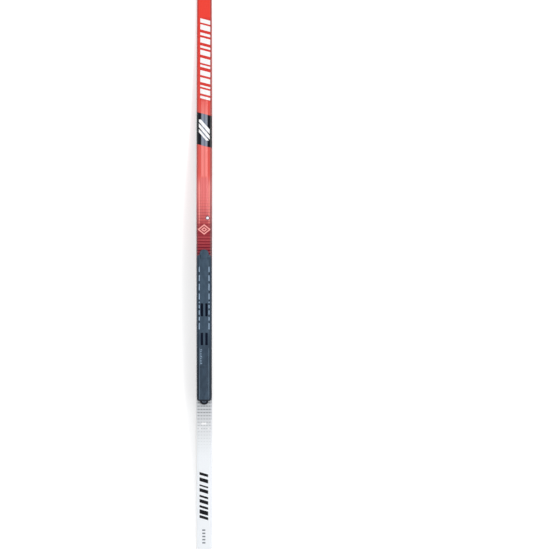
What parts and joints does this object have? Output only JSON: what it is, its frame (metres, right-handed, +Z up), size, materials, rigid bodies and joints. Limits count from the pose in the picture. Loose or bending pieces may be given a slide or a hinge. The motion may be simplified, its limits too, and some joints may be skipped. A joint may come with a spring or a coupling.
{
  "type": "cross country ski",
  "caption": "Narrow race skate ski with cambered base, low turned-up tip, raised centre spine and a bare binding plate with rails.",
  "frame": {"origin": "centre of the bounding box seen from above, at the height of the floor the ski rests on", "axes": "+X along the ski towards the tip, +Y to the skier's left, +Z up out of the top sheet"},
  "size_m": [1.9, 0.0444, 0.0561],
  "materials": {
    "sole": "sintered polyethylene, stone-ground satin",
    "running_edge": "hard black polymer, satin",
    "carbon": "carbon fibre laminate, satin resin",
    "glass_wrap": "glass fibre laminate",
    "light_core": "aramid honeycomb and foam, matt",
    "dense_core": "light wood strips, matt",
    "insert": "reinforced polymer, matt",
    "sidewall": "coloured polymer, satin",
    "filler": "solid polymer, matt",
    "top_print": "printed clear-coated sheet, semi-gloss",
    "end_moulding": "moulded polymer, satin",
    "bond": "cured adhesive film",
    "plate": "moulded slate-blue polymer, fine matt",
    "stop": "moulded black polymer, matt"
  },
  "bodies": {
    "root": {"running_base": "sole", "left_base_edge": "running_edge", "right_base_edge": "running_edge", "lower_carbon_laminate": "carbon", "fore_core": "light_core", "mid_core": "dense_core", "rear_core": "light_core", "binding_insert": "insert", "torsion_wrap": "glass_wrap", "left_sidewall": "sidewall", "right_sidewall": "sidewall", "tip_spacer": "filler", "tail_spacer": "filler", "upper_carbon_laminate": "carbon", "top_sheet": "top_print", "tip_protector": "end_moulding", "tail_protector": "end_moulding", "plate_adhesive": "bond", "binding_plate": "plate", "plate_rear_stop": "stop"}
  },
  "joints": []
}
